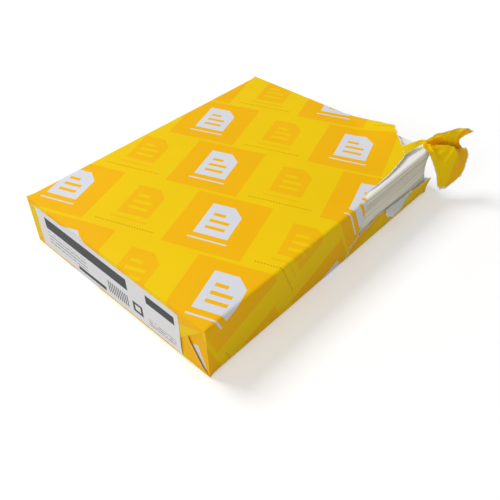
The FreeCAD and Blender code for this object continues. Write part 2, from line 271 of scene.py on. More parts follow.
# Where the print's pattern begins on the flat sheet.
PRINT_SHIFT = (119, 35)
ARC = math.pi / 2 * EDGE
FLAT = HALF_WIDTH - EDGE
WALL = HEIGHT - 2 * EDGE
UPPER = FLAT + ARC / 2
LOWER = UPPER + ARC + WALL
HALF_GIRTH = 2 * FLAT + 2 * ARC + WALL
LAP_START, LAP_FULL = HALF_GIRTH - LAP - 5, HALF_GIRTH - LAP - 1
# Spacing of the net's points, the least gap between them, and the most that a point's distance
# from a tear is given as.
NET_SPACING, NET_GAP, TEAR_REACH = 4.0, 0.8, 50
# The share of the wrapper's thickness that its hidden corners have.
HIDDEN_GAUGE = 0.03


def wall_at(z):
    """s on the right side at a height."""
    return FLAT + ARC + (TOP - EDGE - z)


def on_wall(*line):
    """A line on the right side, given by heights and places along the length."""
    return [(wall_at(z), t) for z, t in line]


# The loosened corner of the top: points (x, y, lift), from the flat top to the torn edge.
LOOSENED = [
    (13.25, 139.7, 0), (36, 122.4, 0), (60.8, 97.9, 0), (83.6, 72.4, 0), (100.5, 46.9, 0),
    (0, 100, 0), (40, 80, 0), (70, 50, 0), (95, 10, 0), (-20, 139, 0), (0, 139.8, 0),
    (34.2, 141.5, 1.95), (55, 130, 2.6), (76, 113, 2.3), (90.2, 92, 1.3), (101.2, 61.6, 0.5),
    (50.3, 142.5, 4.5), (66.4, 143.5, 6.5), (89.2, 123, 3.6), (97.2, 113, 2.6), (102.2, 78.3, 1),
    (101, 44, 0.1),
]


def lift(x, y):
    """How high the loosened corner stands above the flat top: a thin plate through its points."""
    knots = np.array(LOOSENED, float)

    def spans(px, py):
        distance = np.hypot(px[:, None] - knots[:, 0], py[:, None] - knots[:, 1])
        return distance**2 * np.log(distance + 1e-9)

    count = len(knots)
    plane = np.column_stack([np.ones(count), knots[:, 0], knots[:, 1]])
    system = np.zeros((count + 3, count + 3))
    system[:count, :count] = spans(knots[:, 0], knots[:, 1])
    system[:count, count:], system[count:, :count] = plane, plane.T
    weights = np.linalg.solve(system, np.append(knots[:, 2], [0, 0, 0]))
    height = spans(x, y) @ weights[:count] + weights[count] + weights[-2] * x + weights[-1] * y
    # The hinge that it bends along runs from the far edge to where the side tear begins.
    beyond = (x - 13.25) * 93 + (y - 139.7) * 87
    return np.maximum(height, 0) * smoothstep(-200, 1600, beyond)


# Torn edges as points on the flat sheet (s, t). They bound what is gone of it.
TORN_TOP = [
    (UPPER, 41.5), (105.5, 43), (102.6, 46), (102, 52), (102.6, 63), (102.3, 79), (101, 92),
    (99.2, 104), (97.2, 113), (93, 117.5), (89.2, 122.6), (86, 124), (83.5, 127), (80.5, 130),
    (75.5, 133), (73, 137), (69, 139.5), (66.4, 143.5),
]
OPENED_EDGE = [
    (66.4, 143.5), (62, 143.3), (56, 142.4), (50, 142.7), (41, 141.8), (33, 141.6), (24, 141),
    (16, 140.5),
]
FAR_FLAP_TEAR = [
    (16, 140.5), (13.5, 146), (11, 149), (5, 157), (4.5, 160), (7, 166), (2, 172), (-3, 178.5),
]
# On the underside s is counted back from the seam.
FAR_END_TEAR = [
    (HALF_GIRTH - x, t)
    for x, t in (
        (17, 178.5), (20, 177), (31, 174), (38, 170), (45, 166), (61, 161), (78, 155.5), (96, 153),
    )
] + [(LOWER + 2, 152), *on_wall((9, 152.5), (12, 148), (15.5, 144), (17.5, 140))]
STRIP_TEAR = on_wall(
    (17.5, 140), (18.2, 133), (18.6, 127), (18, 119), (18.2, 113), (19, 98), (20.2, 83), (21, 70),
    (22.3, 60), (21.4, 54), (20, 49), (18.5, 43), (18.6, 38), (17.5, 33),
)
CRACK = on_wall((17.5, 33), (14, 27.6), (11.4, 20.5), (7, 18), (2.6, 16))
SIDE_TEAR = on_wall(
    (18.6, 30.8), (23, 33.5), (28, 36.6), (32, 37.6), (38, 39.4), (43, 40.4),
) + [(UPPER, 41.5)]

# Scuffs on the strip: from and to along t, the height at the first, its rise and half width.
SCUFFS = ((93, 113, 6.5, 0.2, 0.5), (79, 101, 4, 0.1, 0.35), (84, 92, 5.6, 0.3, 0.3))


def rough_line(points, step, rough, rng):
    """A line through the points, with a corner every step and the unevenness of torn paper."""
    line = [points[0]]
    for (x0, y0), (x1, y1) in zip(points, points[1:]):
        span = math.hypot(x1 - x0, y1 - y0)
        count = max(1, round(span / step))
        for i in range(1, count + 1):
            share = i / count
            stray = rough * rng.uniform(-1, 1) if i < count else 0
            x, y = x0 + (x1 - x0) * share, y0 + (y1 - y0) * share
            line.append((x - (y1 - y0) / span * stray, y + (x1 - x0) / span * stray))
    return line


def gone_outline():
    """The outline of what is torn off the flat sheet, and its torn part alone."""
    rng = np.random.default_rng(4)
    top = rough_line(TORN_TOP, 1.3, 0.2, rng)
    opened = rough_line(OPENED_EDGE, 1.6, 0.15, rng)
    flap = rough_line(FAR_FLAP_TEAR, 1.5, 0.5, rng)
    end = rough_line(FAR_END_TEAR, 1.5, 0.5, rng)
    strip = rough_line(STRIP_TEAR, 1.3, 0.35, rng)
    crack = rough_line(CRACK, 1.2, 0.25, rng)
    back = [(s - 0.1, t - 0.5) for s, t in reversed(crack[1:-1])]
    side = rough_line(SIDE_TEAR, 1.2, 0.3, rng)
    past = [(-3, 190), (HALF_GIRTH - 17, 190)]
    torn = [top, opened, flap, end, strip, crack + back, side]
    outline = top + opened[1:] + flap[1:] + past + end + strip[1:] + crack[1:] + back + side[:-1]
    return outline, torn


def inside_outline(points, outline):
    """Which of the points lie inside the closed outline."""
    x, y = points[:, 0], points[:, 1]
    found = np.zeros(len(points), bool)
    for (x0, y0), (x1, y1) in zip(outline, outline[1:] + outline[:1]):
        if y0 != y1:
            crosses = (y0 > y) != (y1 > y)
            found ^= crosses & (x < (x1 - x0) * (y - y0) / (y1 - y0) + x0)
    return found


def crease_lines():
    """The lines on the flat sheet that it is folded or bent along."""
    edge, end = HALF_GIRTH + LAP, HALF_LENGTH + REACH
    bends = [FLAT + ARC * i / 4 for i in range(5)]
    bends += [b + ARC + WALL for b in bends]
    lines = [[(-edge, t), (edge, t)] for t in (-HALF_LENGTH, HALF_LENGTH)]
    for way in (-1, 1):
        lines += [[(way * b, -HALF_LENGTH), (way * b, HALF_LENGTH)] for b in bends]
        for far in (-1, 1):
            root, tip = far * HALF_LENGTH, far * end
            lines += [[(way * b, root), (way * b, tip)] for b in (UPPER, LOWER)]
            for aside in (-2.2, 0, 2.2):
                # Sharp corners make the girth a little wider than the net.
                lean = REACH * UPPER / HALF_WIDTH
                start = (way * (UPPER + min(aside, 0)), root + far * max(aside, 0))
                lines.append([start, (way * (UPPER - lean + aside), tip)])
                start = (way * (LOWER + max(aside, 0)), root - far * min(aside, 0) / LEAN)
                lines.append([start, (way * (LOWER + lean * LEAN + aside), tip)])
    return lines


def flat_net():
    """The flat sheet as a net of triangles: its points (s, t), faces and torn lines."""
    edge, end, spacing = HALF_GIRTH + LAP, HALF_LENGTH + REACH, NET_SPACING
    outline, torn = gone_outline()
    points, links = [], []

    def add_line(line, closed=False):
        start = len(points)
        points.extend(line)
        links.extend((start + i, start + i + 1) for i in range(len(line) - 1))
        if closed:
            links.append((len(points) - 1, start))

    rng = np.random.default_rng(11)
    border = [(-edge, -end), (edge, -end), (edge, end), (-edge, end), (-edge, -end)]
    add_line(rough_line(border, spacing, 0, rng)[:-1], closed=True)
    for line in crease_lines():
        add_line(rough_line(line, spacing, 0, rng))
    add_line(outline, closed=True)

    # Loose points between the lines, finer near the tears.
    across = np.arange(-edge + spacing, edge - spacing / 2, spacing)
    along = np.arange(-end + spacing, end - spacing / 2, spacing)
    loose = np.array(np.meshgrid(across, along)).reshape(2, -1).T
    loose += rng.uniform(-0.22, 0.22, loose.shape) * spacing
    finer = []
    for line in torn:
        for offset in (1.2, 2.6):
            turn = rng.uniform(0, 2 * math.pi, len(line))
            finer.append(np.array(line) + np.column_stack([np.cos(turn), np.sin(turn)]) * offset)
    loose = np.concatenate([loose, *finer])
    loose = loose[nearest(loose, np.array(points)) > NET_GAP]
    found = delaunay_2d_cdt([Vector(p) for p in (*points, *loose)], links, [], 0, 1e-4)
    net = np.array([tuple(v) for v in found[0]])
    faces = np.array([f for f in found[2] if len(f) == 3])
    middle = net[faces].mean(1)
    kept = (np.abs(middle[:, 0]) < edge) & (np.abs(middle[:, 1]) < end)
    used, faces = np.unique(faces[kept & ~inside_outline(middle, outline)], return_inverse=True)
    return net[used], faces.reshape(-1, 3), np.concatenate([np.array(line) for line in torn])


# Folding the flat sheet

# How far out the layers of an end fold lie: the top's flap, the underside's and the tuck. What
# is turned under lies further in by FLAP_TURN, and a flap dips or bulges by a crease.
TOP_FLAP, UNDER_FLAP, TUCK = 0.6, 0.28, -0.02
FLAP_TURN, CREASE_DIP, CREASE_BULGE = 0.3, 0.12, 0.18


def girth(a):
    """Place and outward direction (x, z) of a point round the rounded girth, right half."""
    turn_up = np.clip((a - FLAT) / EDGE, 0, math.pi / 2)
    turn_low = np.clip((a - FLAT - ARC - WALL) / EDGE, 0, math.pi / 2)
    down = np.clip(a - FLAT - ARC, 0, WALL)
    back = np.maximum(a - FLAT - 2 * ARC - WALL, 0)
    x = np.minimum(a, FLAT) + EDGE * np.sin(turn_up) - EDGE * (1 - np.cos(turn_low)) - back
    z = TOP - EDGE * (1 - np.cos(turn_up)) - down - EDGE * np.sin(turn_low)
    turn = turn_up + turn_low
    return x, z, np.sin(turn), np.cos(turn)


def sharp_girth(a):
    """The same round a girth with sharp corners, as at the folded ends."""
    x = np.where(a < UPPER, a * HALF_WIDTH / UPPER, HALF_WIDTH)
    z = TOP - np.clip((a - UPPER) / (LOWER - UPPER), 0, 1) * HEIGHT
    back = (a - LOWER) * HALF_WIDTH / (HALF_GIRTH - LOWER)
    return np.where(a > LOWER, HALF_WIDTH - back, x), z


def end_fold(a, d, loose):
    """Place (x, out from the end, z) of a point past the end, at distance d from its edge.

    The side panel is tucked in first, then the underside's flap is folded up over it and the
    top's flap down over both. Each flap has a turned-under corner, whose print faces inwards.
    loose is how far the underside's flap stands off along its slanted edge."""
    x, z = sharp_girth(a)
    corner, crease = HALF_WIDTH - x, LEAN * d
    soft = smoothstep(0, 1.5, d)
    share = np.clip(corner / np.maximum(crease, 1e-6), 0, 1)

    def layers(x, z):
        """How far out the top's flap, the underside's flap and the tuck lie at a place."""
        u, v, w = HALF_WIDTH - x, TOP - z, z - BOTTOM
        up, low = smoothstep(0, 2.2, v), smoothstep(0, 2.2, w)
        by_top = smoothstep(-0.5, 1.5, u - v) * (1 - up)
        by_under = smoothstep(-0.3, 1.2, u - LEAN * w) * (1 - low)
        tuck = TUCK * soft - FLAP_TURN * np.maximum(by_top, by_under)
        return TOP_FLAP * up, UNDER_FLAP * low, tuck

    # What is turned under keeps off the long edges, so that it can't show through them.
    hem = 0.25 * soft
    tuck_x = HALF_WIDTH - d
    tuck = np.array([tuck_x, layers(tuck_x, z)[2], np.clip(z, BOTTOM + hem, TOP - hem)])

    by_crease = (1 - smoothstep(0, 2.5, np.abs(corner - d))) * soft
    out = layers(x, TOP - d)[0] - CREASE_DIP * by_crease
    down_flap = np.array([x, out, TOP - d])
    out = layers(tuck_x, TOP - corner)[0] - FLAP_TURN * soft + CREASE_BULGE * by_crease
    down_turn = np.array([tuck_x, out, TOP - np.maximum(corner, hem)])

    gap = (corner - crease) / math.hypot(1, LEAN)
    by_crease = (1 - smoothstep(0, 2.5, np.abs(gap))) * soft
    stand = loose * np.exp(-((gap / 2.6) ** 2)) * smoothstep(1, 9, d) * (1 - smoothstep(26, 33, d))
    out = layers(x, BOTTOM + d)[1] - CREASE_DIP * by_crease + stand
    up_flap = np.array([x, out, BOTTOM + d])
    turn_x, turn_z = tuck_x + share * (d - crease), BOTTOM + share * d
    out = layers(turn_x, turn_z)[1] - FLAP_TURN * soft + CREASE_BULGE * by_crease
    up_turn = np.array([turn_x, out + stand * share**9, np.maximum(turn_z, BOTTOM + hem)])
    under, top = a > LOWER, a < UPPER
    place = np.where(under, np.where(corner >= crease, up_flap, up_turn), tuck)
    return np.where(top, np.where(corner >= d, down_flap, down_turn), place)


def fold(net, waviness):
    """Places the points of the flat sheet, outer face, in millimetres."""
    s, t = net[:, 0], net[:, 1]
    a, way, far = np.abs(s), np.where(s < 0, -1, 1), np.where(t < 0, -1, 1)
    x, z, out_x, out_z = girth(a)
    sharp_x, sharp_z = sharp_girth(a)
    near_end = smoothstep(HALF_LENGTH - 7, HALF_LENGTH, np.abs(t))
    x, z = x + (sharp_x - x) * near_end, z + (sharp_z - z) * near_end
    y = np.clip(t, -HALF_LENGTH, HALF_LENGTH)

    # Gentle waves and dents of paper that is wrapped by machine, outwards only.
    calm = smoothstep(0, 14, HALF_LENGTH - np.abs(t))
    down = np.clip((a - FLAT - ARC) / WALL, 0, 1)
    wall = np.where((down > 0) & (down < 1), np.sin(math.pi * down), 0)
    wave = 0.5 + 0.5 * ripples(s, t, 70, 3)
    dent = 0.5 + 0.5 * ripples(s * 1.4, t, 24, 8)
    under = a > LOWER
    puff = waviness * calm * np.where(under, 0, 0.5 * wave + 0.35 * dent + 1.1 * wall * wave)
    x, z = x + out_x * puff, z + out_z * puff

    # The seam's outer layer lies under the inner one.
    lapped = smoothstep(LAP_START, LAP_FULL, a)
    z = z - WRAP_GAUGE * lapped * (s < 0) * under

    # The ends.
    d = np.abs(t) - HALF_LENGTH
    past = d > 0
    end_x, end_out, end_z = end_fold(a, np.maximum(d, 0), np.where(s > 0, 1.0, 0.12))
    end_out = end_out - (WRAP_GAUGE + 0.02) * lapped * (s > 0) * smoothstep(0, 2, d)
    # The strip's end stands open past the far corner.
    strip = (s > UPPER) & (s < LOWER)
    opened = strip & (t > 0)
    turn = smoothstep(2, 12, end_z) * math.radians(74)
    end_x = np.where(opened, HALF_WIDTH - d * np.cos(turn) + 0.5 * smoothstep(0, 8, d), end_x)
    end_out = np.where(opened, d * np.sin(turn), end_out)
    x, z = np.where(past, end_x, x), np.where(past, end_z, z)
    y = np.where(past, far * (HALF_LENGTH + end_out), y)

    # The strip's torn edge leans out towards the far corner.
    x = x + 2.4 * smoothstep(2, 17, z) * smoothstep(95, 138, t) * strip
    # The top's flap is unfolded where it is torn off, and its corner is loose and lifted.
    on_top = (a < UPPER + 0.01) & (s > 0) & (t > 0)
    flat = smoothstep(12.5, 16, s) * (on_top & past)
    x, y, z = x + (sharp_x - x) * flat, y + (t - y) * flat, z + (TOP - z) * flat
    z = z + np.where(on_top & (~past | (s > 12.5)), lift(x, y), 0)
    return np.column_stack([x * way, y, z])


# The loose pieces of the tear

# The crumpled flap hangs from a narrow neck at the torn corner. Each row runs out from the neck,
# and each point is (out from the corner along the diagonal, across it towards the near end, up
# from the top). The rows are the wing's upper edge and middle, the deep fold under it, the lip
# in front of the fold, the bulge and the rim. Each begins with its share of the way along the
# neck's root.
FLAP_ROWS = (
    (0, [(-11, -6, 6), (-5.1, -4, 8), (3.1, -2.5, 13.2), (14.4, -1.5, 17.9), (26.9, -1, 19.5),
         (33.9, 0, 16.8)]),
    (0.2, [(-10.6, -5.5, 5.4), (-5.2, -3, 6.8), (5.6, -2, 9.4), (13.9, -1, 11.9),
           (19.9, -0.8, 13), (23.9, -1.8, 6.6)]),
    (0.4, [(-10.5, -5, 5), (-5.7, -2, 5.3), (3, -4.5, 2.4), (14.6, -5, -1.5), (22, -5, -4),
           (28.6, -3.5, -4)]),
    (0.5, [(-10.3, -4.8, 4.5), (-6.2, -1.2, 5.5), (0.5, 0.5, 6), (11.4, 2, 4.7),
           (19.1, 2.2, 2.4), (31, -1, -0.3)]),
    (0.7, [(-10, -4, 4), (-8, 1, 5), (-0.9, 5, 2.5), (7.7, 9, -5.1), (17.4, 9, -7.2),
           (35.4, -1, -10.6)]),
    (1, [(-9.5, -3, 3), (-10, 3, 4), (-5, 7.2, 0.8), (2.6, 9.5, -16.8), (11, 9, -39.8),
         (29.2, 5, -28.4)]),
)
NECK_ROOT = np.array([(88.4, 121.6, 3.6), (97.0, 112.2, 2.7)])
# Length and width of the flap when laid flat, and rows and columns of its grid.
FLAP_SIZE, FLAP_GRID = (75, 55), (44, 74)

# The strip's torn edge, folded outwards: for points along it the crease's place along the length
# and its height, how far the fold falls, how far it stands out, and how far it drifts back.
STRIP_FOLD = (
    (70.5, 21.2, 4.6, 1.2, 0.8), (74, 21.1, 6.1, 3.8, 3), (80, 20.6, 6.2, 6.2, 5),
    (86, 20.2, 4.3, 6.4, 5.1), (92, 19.8, 4.8, 6, 4.5), (98, 19.2, 2, 4, 2.8),
    (105, 18.7, 1.6, 2, 1.3), (113, 18.2, 0.2, 0.3, 0.1),
)
# Its rows: the share of the fall, of the bulge, and the rise over the crease.
STRIP_ROWS = ((0, 0.05, -0.6), (0.06, 0.8, 0.5), (0.3, 1, 0.2), (0.65, 0.9, 0.1), (1, 0, 0))
# Length and width of the fold when laid flat, and rows and columns of its grid.
STRIP_SIZE, STRIP_GRID = (43, 10), (14, 40)


def spline_row(points, count, tension=0.5):
    """A smooth line of count points through the given ones."""
    points = np.asarray(points, float)
    ends = np.concatenate([[2 * points[0] - points[1]], points, [2 * points[-1] - points[-2]]])
    at = np.linspace(0, len(points) - 1, count)
    first = np.minimum(at.astype(int), len(points) - 2)
    u = (at - first)[:, None]
    p0, p1, p2, p3 = (ends[first + i] for i in range(4))
    m1, m2 = tension * (p2 - p0), tension * (p3 - p1)
    line = (2 * u**3 - 3 * u**2 + 1) * p1 + (u**3 - 2 * u**2 + u) * m1
    return line + (3 * u**2 - 2 * u**3) * p2 + (u**3 - u**2) * m2


def patch(rows, high, wide, tension=0.5):
    """A smooth grid of points through rows of points."""
    drawn = np.array([spline_row(row, wide, tension) for row in rows])
    return np.array([spline_row(drawn[:, i], high) for i in range(wide)]).transpose(1, 0, 2)


def patch_faces(high, wide, start, flip=False):
    faces = []
    for i in range(high - 1):
        for j in range(wide - 1):
            a = start + i * wide + j
            square = (a, a + 1, a + wide + 1, a + wide)
            faces.append(square[::-1] if flip else square)
    return faces


def flap_points(turn, square):
    """The crumpled flap as rows of points in millimetres, its flat net and tear distance."""
    diagonal = 0.5**0.5
    rows = []
    for share, row in FLAP_ROWS:
        root = NECK_ROOT[0] * (1 - share) + NECK_ROOT[1] * share
        line = [(root[0], root[1], TOP + 0.12 + root[2])]
        for out, across, up in row:
            x = HALF_WIDTH + (out + across) * diagonal
            line.append((x, HALF_LENGTH + (out - across) * diagonal, TOP + up))
        rows.append(line)
    grid = patch(rows, *FLAP_GRID)
    v, u = grid_shares(*FLAP_GRID)
    along, down = u * FLAP_SIZE[0], v * FLAP_SIZE[1]
    # Crumples, and a torn, nibbled rim.
    folds = np.abs(ripples(along, down, 26, 5)) + 0.5 * np.abs(ripples(along, down, 13, 2))
    crumple = 0.5 * ripples(along, down, 17, 21) + 2.2 * folds
    weight = smoothstep(0.25, 0.45, u)
    du, dv = np.gradient(grid, axis=1), np.gradient(grid, axis=0)
    normal = np.cross(du, dv)
    normal /= np.linalg.norm(normal, axis=2, keepdims=True) + 1e-9
    grid = grid + normal * (crumple * weight)[..., None]
    nibble = 0.25 * np.random.default_rng(17).uniform(-1, 1, (*FLAP_GRID, 2))
    rim = np.maximum(smoothstep(0.96, 1, v), smoothstep(0.04, 0, v))
    rim = np.maximum(smoothstep(0.96, 1, u), rim) * weight
    grid = grid + (du * nibble[..., :1] + dv * nibble[..., 1:]) * rim[..., None]
    # Its net is set so that the print's lighter square ends at the bulge's crease, and lies six
    # squares off, where the strip's scuffs don't reach.
    s, t = PRINT_SHIFT[0] + 5 + 6 * square + along, PRINT_SHIFT[1] + 62 - down
    sine, cosine = math.sin(turn), math.cos(turn)
    net = np.dstack([s * cosine - t * sine, s * sine + t * cosine])
    tear = np.minimum(np.minimum(down, FLAP_SIZE[1] - down), FLAP_SIZE[0] - along)
    return grid, net, tear


def strip_fold_points():
    """The strip's torn edge, folded outwards so that its white back shows."""
    rows = []
    for share, bulge, rise in STRIP_ROWS:
        line = []
        for t, z, fall, out, drift in STRIP_FOLD:
            x = HALF_WIDTH + 0.05 + bulge * min(1, fall / 3) + out * share
            line.append((x, t - drift * share, z + rise - fall * share))
        rows.append(line)
    grid = patch(rows, *STRIP_GRID, 0.12)
    v, u = grid_shares(*STRIP_GRID)
    along, down = u * STRIP_SIZE[0], v * STRIP_SIZE[1]
    jitter = np.random.default_rng(9).uniform(-0.8, 0.8, STRIP_GRID)
    grid[..., 2] += jitter * smoothstep(0.85, 1, v)
    grid[..., 0] += 0.3 * ripples(along, down, 12, 31) * smoothstep(0.1, 0.5, v)
    net = np.dstack([wall_at(20 + down), 70 + along])
    tear = np.minimum(STRIP_SIZE[1] - down, np.minimum(along, STRIP_SIZE[0] - along))
    return grid, net, tear


def hidden_corners(net):
    """Which points lie on the hidden corners of the end folds, where no thickness may show."""
    a, d = np.abs(net[:, 0]), np.abs(net[:, 1]) - HALF_LENGTH
    corner = HALF_WIDTH - sharp_girth(a)[0]
    turned = (a < UPPER) & (corner < d + 0.3) | (a > LOWER) & (corner < LEAN * d + 0.3)
    opened = (net[:, 0] > 0) & (net[:, 1] > 0) & (a < UPPER)
    return turned & (d > 0) & ~opened


def make_wrapper(settings):
    """The folded and torn wrapper, with its thickness and its white back."""
    net, faces, torn = flat_net()
    hidden = np.flatnonzero(hidden_corners(net))
    points, nets = [fold(net, settings.waviness / MM)], [net]
    tears, faces = [nearest(net, torn)], [tuple(f) for f in faces]
    count = len(net)
    flap = flap_points(settings.print_turn, settings.square / MM)
    for (grid, flat, tear), flip in ((flap, True), (strip_fold_points(), False)):
        faces += patch_faces(*grid.shape[:2], count, flip)
        points.append(grid.reshape(-1, 3))
        nets.append(flat.reshape(-1, 2))
        tears.append(tear.ravel())
        count += tear.size
    piece = new_piece(
        "wrapper_sheet",
        np.concatenate(points),
        faces,
        [printed_paper(settings), paper_back(settings)],
        np.concatenate(nets),
        np.minimum(np.concatenate(tears), TEAR_REACH),
    )
    group = piece.vertex_groups.new(name="gauge")
    group.add(np.setdiff1d(np.arange(count), hidden).tolist(), 1.0, "REPLACE")
    group.add(hidden.tolist(), HIDDEN_GAUGE, "REPLACE")
    return thickened(
        piece, WRAP_GAUGE, 38, vertex_group="gauge", material_offset=1, material_offset_rim=1
    )


# Materials

# The figure's parts as (left, right, low, high) from the middle of a square, in millimetres: a
# plain sheet with a cut corner and three ruled lines, and a bar under it.
FIGURE_SHEET = (-14.5, 14.5, -15, 22)
FIGURE_CUT = 27
FIGURE_LINES = ((-8.5, 2, 8, 11.4), (-8.5, 8.5, 0, 3.4), (-8.5, 8.5, -8, -4.6))
FIGURE_BAR = (-16.5, 16.5, -21.5, -20)
# The gap round a deeper square, and the lighter squares' dotted rule: its place and its pitch.
SQUARE_GAP = 1.5
DOTTED_RULE, DOT_PITCH = (-27, 27, -28.4, -27.3), 2.4
# The label's dark fields as (left, right, upper, lower) from its upper left corner, and the hole
# in the last of them.
LABEL_FIELDS = ((12, 120, 5.3, 17), (142, 173, 6, 14.5), (52, 89, 34.6, 38.6), (124, 135.5, 24, 35))
LABEL_HOLE = (126.5, 133, 26.5, 32.5)
# Its upright bars and two blocks of thin lines: the axis across them, pitch, share of ink, place.
LABEL_LINES = (
    (0, 2.6, 0.45, (93, 119, 23.5, 36)),
    (1, 4.0, 0.22, (12, 66, 20.5, 33.5)),
    (1, 2.6, 0.28, (142, 172, 31.5, 38)),
)


def field(at, place):
    """A sum: 1 inside an upright rectangle (left, right, low, high) in millimetres, else 0."""
    across, up = (
        ("COMPARE", value, (first + last) / 2, (last - first) / 2)
        for value, first, last in zip(at, place[::2], place[1::2])
    )
    return ("MULTIPLY", across, up)


def flat_millimetres(tree, turn=0.0, shift=(0, 0)):
    """The piece's flat net in millimetres, turned and shifted, across and up."""
    mapping = {
        "Vector": add_node(tree, "ShaderNodeUVMap", uv_map="flat"),
        "Location": (-shift[0], -shift[1], 0),
        "Rotation": (0, 0, -turn),
        "Scale": (1 / MM, 1 / MM, 1),
    }
    flat = add_node(tree, "ShaderNodeMapping", mapping, vector_type="POINT")
    return add_node(tree, "ShaderNodeSeparateXYZ", [flat]).outputs[:2]


def mottle(tree, length, detail):
    """A cloudy grain of about that length in millimetres, fixed to the piece."""
    place = add_node(tree, "ShaderNodeTexCoord").outputs["Object"]
    return add_node(tree, NOISE, {"Vector": place, "Scale": 1 / (length * MM), "Detail": detail})


def torn_fibres(tree, width):
    """1 on the bare fibres along a torn edge, which are about width millimetres wide, else 0."""
    tear = add_node(tree, "ShaderNodeAttribute", attribute_name="tear").outputs["Fac"]
    frayed = mottle(tree, 2.5, 3.0)
    reach = add_node(tree, RANGE, [frayed, 0.3, 0.7, width * 0.25, width * 1.8])
    return ("LESS_THAN", tear, reach)


def paper_finish(tree, surface, tooth=None, strength=0, depth=0):
    """The paper's shader and output, with its tooth as a bump of that depth in millimetres."""
    if tooth:
        relief = {"Strength": strength, "Distance": depth * MM, "Height": tooth}
        surface["Normal"] = add_node(tree, "ShaderNodeBump", relief)
    shader = add_node(tree, "ShaderNodeBsdfPrincipled", surface)
    add_node(tree, "ShaderNodeOutputMaterial", [shader])


def printed_paper(settings):
    """Machine-glazed wrapping paper, offset printed and varnished: strong flat colour, a soft
    satin sheen that follows its gentle waves, and white fibres where it is torn."""
    material, tree = new_material("Varnished Wrapping Paper")
    square = settings.square / MM
    across, up = flat_millimetres(tree, settings.print_turn, PRINT_SHIFT)
    # Rows of squares, each row stepped by half a square.
    row = ("DIVIDE", up, square)
    stepped = ("MULTIPLY_ADD", ("FLOOR", row), 0.5 * square, across)
    column = add_node(tree, MATH, [stepped, square], operation="DIVIDE")
    at = [
        add_node(tree, MATH, [("FRACT", value), square, -square / 2], operation="MULTIPLY_ADD")
        for value in (column, row)
    ]
    half = square / 2 - SQUARE_GAP
    tile = field(at, (-half, half, -half, half))
    odd = ("FLOORED_MODULO", ("FLOOR", column), 2.0)
    deeper = add_node(tree, MATH, [odd, tile], operation="MULTIPLY")
    corner = ("LESS_THAN", ("ADD", *at), FIGURE_CUT)
    figure = ("MULTIPLY", field(at, FIGURE_SHEET), corner)
    for place in FIGURE_LINES:
        figure = ("SUBTRACT", figure, field(at, place))
    figure = ("ADD", figure, field(at, FIGURE_BAR))
    # On the deeper squares the figure is left white, on the lighter ones it is only a shade
    # deeper than its ground.
    ground = add_node(tree, MIX, [deeper, settings.yellow, settings.orange], data_type="RGBA")
    faint = [y * 0.15 + o * 0.85 for y, o in zip(settings.yellow, settings.orange)]
    mark = add_node(tree, MIX, [deeper, faint, settings.figure], data_type="RGBA")
    inked = add_node(tree, MIX, [figure, ground, mark], data_type="RGBA")
    # A fine dotted rule runs along the foot of each lighter square.
    dots = ("LESS_THAN", ("FRACT", ("DIVIDE", at[0], DOT_PITCH)), 0.55)
    rule = ("MULTIPLY", ("MULTIPLY", field(at, DOTTED_RULE), dots), ("SUBTRACT", 1.0, deeper))
    dark = [c * 0.7 for c in settings.orange]
    inked = add_node(tree, MIX, [rule, inked, dark], data_type="RGBA")
    # Ink density and varnish drift a little over the sheet.
    drift = mottle(tree, 60, 4.0)
    density = add_node(tree, RANGE, [drift, 0, 1, 0.95, 1.04])
    inked = add_node(tree, VECTORS, [inked, density], operation="SCALE")
    sheen = add_node(tree, RANGE, [drift, 0, 1, 0.46, 0.58])
    # Long scuffs under the strip's folded edge, where the print is torn off the paper.
    bare = torn_fibres(tree, 0.6)
    s, t = flat_millimetres(tree)
    for first, last, low, rise, half in SCUFFS:
        middle = wall_at(low) + rise * first
        ruled = ("MULTIPLY_ADD", t, rise, s)
        scuff = field((ruled, t), (middle - half, middle + half, first, last))
        bare = add_node(tree, MATH, [bare, scuff], operation="MAXIMUM")
    surface = {
        "Base Color": add_node(tree, MIX, [bare, inked, settings.inside], data_type="RGBA"),
        "Roughness": add_node(tree, MIX, [bare, sheen, 0.85]),
        "IOR": 1.45,
        "Specular IOR Level": 0.12,
    }
    paper_finish(tree, surface, mottle(tree, 5, 5.0), 0.12, 0.15)
    return material


def paper_back(settings):
    """The uncoated back of the wrapping paper: matt white pulp, faintly mottled and fibrous."""
    material, tree = new_material("Uncoated Kraft Back")
    pulp = mottle(tree, 8, 6.0)
    shade = [c * 0.86 for c in settings.inside]
    colour = add_node(tree, MIX, [pulp, shade, settings.inside], data_type="RGBA")
    surface = {"Base Color": colour, "Roughness": 0.9, "IOR": 1.46}
    paper_finish(tree, surface, pulp, 0.25, 0.1)
    return material


